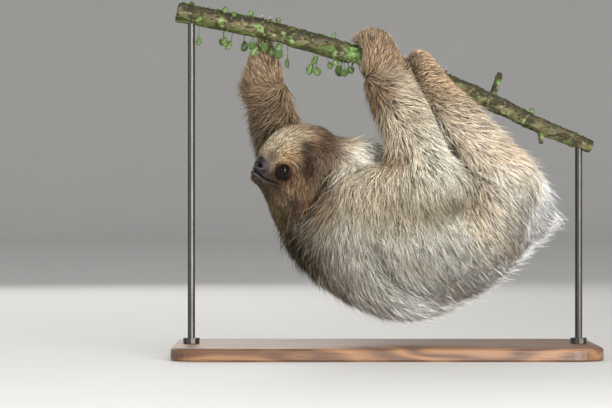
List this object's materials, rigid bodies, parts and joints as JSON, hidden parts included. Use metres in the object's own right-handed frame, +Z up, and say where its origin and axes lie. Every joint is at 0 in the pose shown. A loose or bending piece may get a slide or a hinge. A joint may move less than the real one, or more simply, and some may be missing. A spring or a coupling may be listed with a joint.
{
  "type": "three-toed sloth",
  "caption": "Still, life-size model of a three-toed sloth hanging belly-up by its limbs below a cut length of branch, which rods hold over a flat base.",
  "frame": {"origin": "middle of the base's underside", "axes": "+Z up; +X along the branch towards the animal's rump, its head at -X; +Y is the animal's left side"},
  "size_m": [0.464, 0.236, 0.3893],
  "materials": {
    "body_coat": "long shaggy grey-beige coat",
    "limb_coat": "long coarse tan-brown coat",
    "face_coat": "short pale coat with dark eye stripes",
    "bare_skin": "moist dark naked skin",
    "eye": "wet dark brown eye",
    "claw": "worn horn",
    "bark": "rough bark with moss and lichen",
    "stand_wood": "oiled dark board",
    "stand_metal": "satin black rod"
  },
  "bodies": {
    "root": {"nose": "bare_skin", "eye_right": "eye", "ear_right": "face_coat", "eye_left": "eye", "ear_left": "face_coat", "head": "face_coat", "trunk": "body_coat", "neck": "body_coat", "rump": "body_coat", "tail": "body_coat", "upper_arm_right": "limb_coat", "forearm_right": "limb_coat", "hand_right": "limb_coat", "upper_arm_left": "limb_coat", "forearm_left": "limb_coat", "hand_left": "limb_coat", "thigh_right": "body_coat", "shank_right": "limb_coat", "foot_right": "limb_coat", "thigh_left": "body_coat", "shank_left": "limb_coat", "foot_left": "limb_coat", "claw_hand_right_inner": "claw", "claw_hand_right_middle": "claw", "claw_hand_right_outer": "claw", "claw_hand_left_inner": "claw", "claw_hand_left_middle": "claw", "claw_hand_left_outer": "claw", "claw_foot_right_inner": "claw", "claw_foot_right_middle": "claw", "claw_foot_right_outer": "claw", "claw_foot_left_inner": "claw", "claw_foot_left_middle": "claw", "claw_foot_left_outer": "claw", "branch": "bark", "stand_base": "stand_wood", "stand_rod_left": "stand_metal", "stand_rod_right": "stand_metal"}
  },
  "joints": []
}
